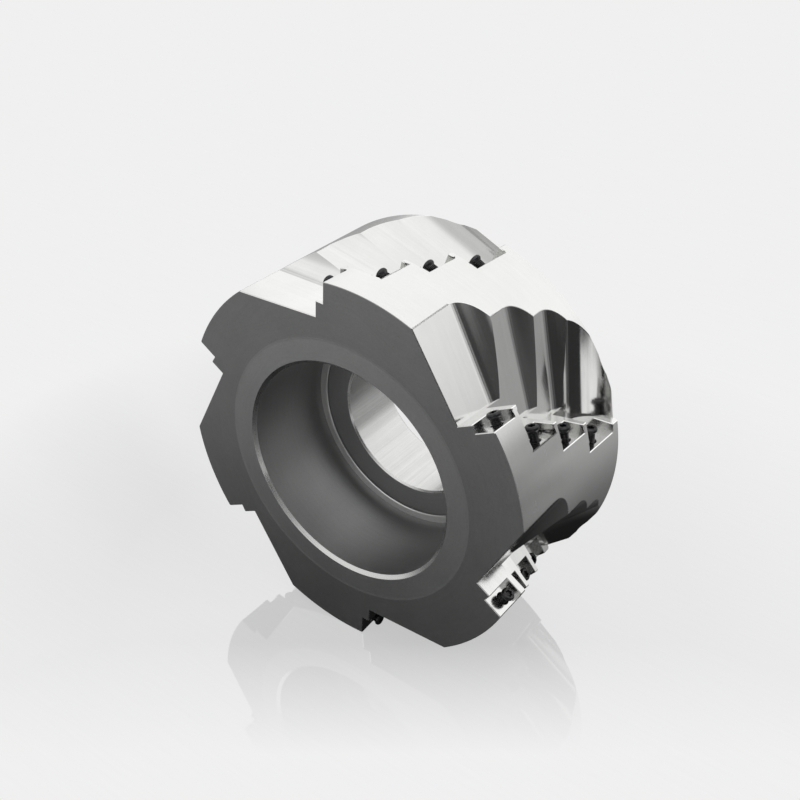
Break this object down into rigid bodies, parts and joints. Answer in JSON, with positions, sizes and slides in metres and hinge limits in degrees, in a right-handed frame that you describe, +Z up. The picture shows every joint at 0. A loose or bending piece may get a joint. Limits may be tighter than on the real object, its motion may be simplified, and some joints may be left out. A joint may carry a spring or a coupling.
{
  "type": "face mill",
  "caption": "Short bored steel face mill body with helical flutes of stepped insert pockets and a black socket screw standing in each pocket.",
  "frame": {"origin": "centre of the footprint on the ground, below the middle of the body's length, the mill standing on its rim", "axes": "+Y along the spindle axis from the cutting face to the back face, +Z up, +X to the right seen from the front"},
  "size_m": [0.125, 0.056, 0.125],
  "materials": {
    "body_steel": "satin turned and milled steel, face in a darker matte",
    "black_oxide": "black oxide steel, semi-gloss"
  },
  "bodies": {
    "body": {"cutter_body": "body_steel"},
    "screw_1_1": {"flute_1_screw_1": "black_oxide"},
    "screw_1_2": {"flute_1_screw_2": "black_oxide"},
    "screw_1_3": {"flute_1_screw_3": "black_oxide"},
    "screw_1_4": {"flute_1_screw_4": "black_oxide"},
    "screw_2_1": {"flute_2_screw_1": "black_oxide"},
    "screw_2_2": {"flute_2_screw_2": "black_oxide"},
    "screw_2_3": {"flute_2_screw_3": "black_oxide"},
    "screw_2_4": {"flute_2_screw_4": "black_oxide"},
    "screw_3_1": {"flute_3_screw_1": "black_oxide"},
    "screw_3_2": {"flute_3_screw_2": "black_oxide"},
    "screw_3_3": {"flute_3_screw_3": "black_oxide"},
    "screw_3_4": {"flute_3_screw_4": "black_oxide"},
    "screw_4_1": {"flute_4_screw_1": "black_oxide"},
    "screw_4_2": {"flute_4_screw_2": "black_oxide"},
    "screw_4_3": {"flute_4_screw_3": "black_oxide"},
    "screw_4_4": {"flute_4_screw_4": "black_oxide"},
    "screw_5_1": {"flute_5_screw_1": "black_oxide"},
    "screw_5_2": {"flute_5_screw_2": "black_oxide"},
    "screw_5_3": {"flute_5_screw_3": "black_oxide"},
    "screw_5_4": {"flute_5_screw_4": "black_oxide"},
    "screw_6_1": {"flute_6_screw_1": "black_oxide"},
    "screw_6_2": {"flute_6_screw_2": "black_oxide"},
    "screw_6_3": {"flute_6_screw_3": "black_oxide"},
    "screw_6_4": {"flute_6_screw_4": "black_oxide"}
  },
  "joints": [
    {"name": "flute_1_screw_1_travel", "type": "slide", "parent": "body", "child": "screw_1_1", "axis": [-0.997, 0.0523, 0.0575], "range_m": [0, 0.0071]},
    {"name": "flute_1_screw_2_travel", "type": "slide", "parent": "body", "child": "screw_1_2", "axis": [-0.9698, 0.0523, 0.2382], "range_m": [0, 0.006]},
    {"name": "flute_1_screw_3_travel", "type": "slide", "parent": "body", "child": "screw_1_3", "axis": [-0.9372, 0.0523, 0.3448], "range_m": [0, 0.006]},
    {"name": "flute_1_screw_4_travel", "type": "slide", "parent": "body", "child": "screw_1_4", "axis": [-0.8882, 0.0523, 0.4565], "range_m": [0, 0.006]},
    {"name": "flute_2_screw_1_travel", "type": "slide", "parent": "body", "child": "screw_2_1", "axis": [-0.4487, 0.0523, 0.8921], "range_m": [0, 0.0071]},
    {"name": "flute_2_screw_2_travel", "type": "slide", "parent": "body", "child": "screw_2_2", "axis": [-0.2786, 0.0523, 0.959], "range_m": [0, 0.006]},
    {"name": "flute_2_screw_3_travel", "type": "slide", "parent": "body", "child": "screw_2_3", "axis": [-0.17, 0.0523, 0.9841], "range_m": [0, 0.006]},
    {"name": "flute_2_screw_4_travel", "type": "slide", "parent": "body", "child": "screw_2_4", "axis": [-0.0488, 0.0523, 0.9974], "range_m": [0, 0.006]},
    {"name": "flute_3_screw_1_travel", "type": "slide", "parent": "body", "child": "screw_3_1", "axis": [0.5483, 0.0523, 0.8347], "range_m": [0, 0.0071]},
    {"name": "flute_3_screw_2_travel", "type": "slide", "parent": "body", "child": "screw_3_2", "axis": [0.6912, 0.0523, 0.7208], "range_m": [0, 0.006]},
    {"name": "flute_3_screw_3_travel", "type": "slide", "parent": "body", "child": "screw_3_3", "axis": [0.7672, 0.0523, 0.6392], "range_m": [0, 0.006]},
    {"name": "flute_3_screw_4_travel", "type": "slide", "parent": "body", "child": "screw_3_4", "axis": [0.8394, 0.0523, 0.541], "range_m": [0, 0.006]},
    {"name": "flute_4_screw_1_travel", "type": "slide", "parent": "body", "child": "screw_4_1", "axis": [0.997, 0.0523, -0.0575], "range_m": [0, 0.0071]},
    {"name": "flute_4_screw_2_travel", "type": "slide", "parent": "body", "child": "screw_4_2", "axis": [0.9698, 0.0523, -0.2382], "range_m": [0, 0.006]},
    {"name": "flute_4_screw_3_travel", "type": "slide", "parent": "body", "child": "screw_4_3", "axis": [0.9372, 0.0523, -0.3448], "range_m": [0, 0.006]},
    {"name": "flute_4_screw_4_travel", "type": "slide", "parent": "body", "child": "screw_4_4", "axis": [0.8882, 0.0523, -0.4565], "range_m": [0, 0.006]},
    {"name": "flute_5_screw_1_travel", "type": "slide", "parent": "body", "child": "screw_5_1", "axis": [0.4487, 0.0523, -0.8921], "range_m": [0, 0.0071]},
    {"name": "flute_5_screw_2_travel", "type": "slide", "parent": "body", "child": "screw_5_2", "axis": [0.2786, 0.0523, -0.959], "range_m": [0, 0.006]},
    {"name": "flute_5_screw_3_travel", "type": "slide", "parent": "body", "child": "screw_5_3", "axis": [0.17, 0.0523, -0.9841], "range_m": [0, 0.006]},
    {"name": "flute_5_screw_4_travel", "type": "slide", "parent": "body", "child": "screw_5_4", "axis": [0.0488, 0.0523, -0.9974], "range_m": [0, 0.006]},
    {"name": "flute_6_screw_1_travel", "type": "slide", "parent": "body", "child": "screw_6_1", "axis": [-0.5483, 0.0523, -0.8347], "range_m": [0, 0.0071]},
    {"name": "flute_6_screw_2_travel", "type": "slide", "parent": "body", "child": "screw_6_2", "axis": [-0.6912, 0.0523, -0.7208], "range_m": [0, 0.006]},
    {"name": "flute_6_screw_3_travel", "type": "slide", "parent": "body", "child": "screw_6_3", "axis": [-0.7672, 0.0523, -0.6392], "range_m": [0, 0.006]},
    {"name": "flute_6_screw_4_travel", "type": "slide", "parent": "body", "child": "screw_6_4", "axis": [-0.8394, 0.0523, -0.541], "range_m": [0, 0.006]}
  ]
}
